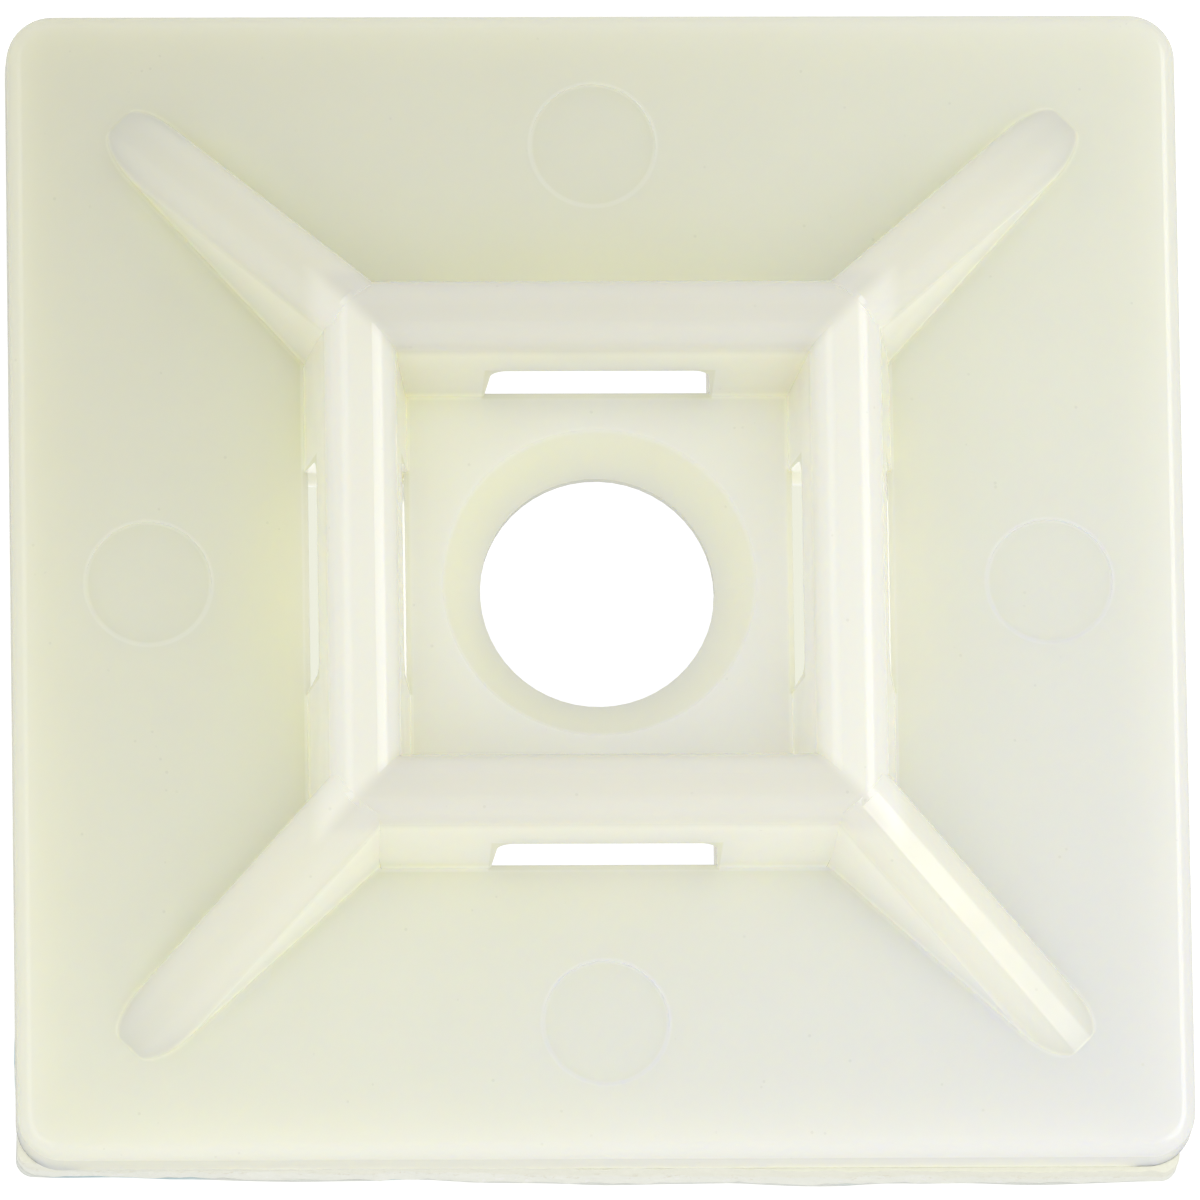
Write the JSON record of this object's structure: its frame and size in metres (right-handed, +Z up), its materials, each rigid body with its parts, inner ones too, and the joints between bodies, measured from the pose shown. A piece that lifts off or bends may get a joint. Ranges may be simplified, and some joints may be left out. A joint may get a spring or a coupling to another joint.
{
  "type": "cable tie mount",
  "caption": "Square self-adhesive cable tie mount: nylon plate with a raised frame of tie bridges, corner ribs and a countersunk screw hole, on a foam pad with a liner.",
  "frame": {"origin": "middle of the release liner's underside, on the surface that the mount lies on, straight below the middle of the screw hole", "axes": "+Z up, out of the plate's moulded face; X and Y run square to the plate's sides and along the tie passages; the fourfold body has no front, so +Y is any one side, and the pad is the one thing a little longer along Y than along X"},
  "size_m": [0.028, 0.0282, 0.0061],
  "materials": {
    "nylon": "satin",
    "foam": "matte",
    "liner": "satin"
  },
  "bodies": {
    "root": {"mount": "nylon", "foam_pad": "foam", "release_liner": "liner"}
  },
  "joints": []
}
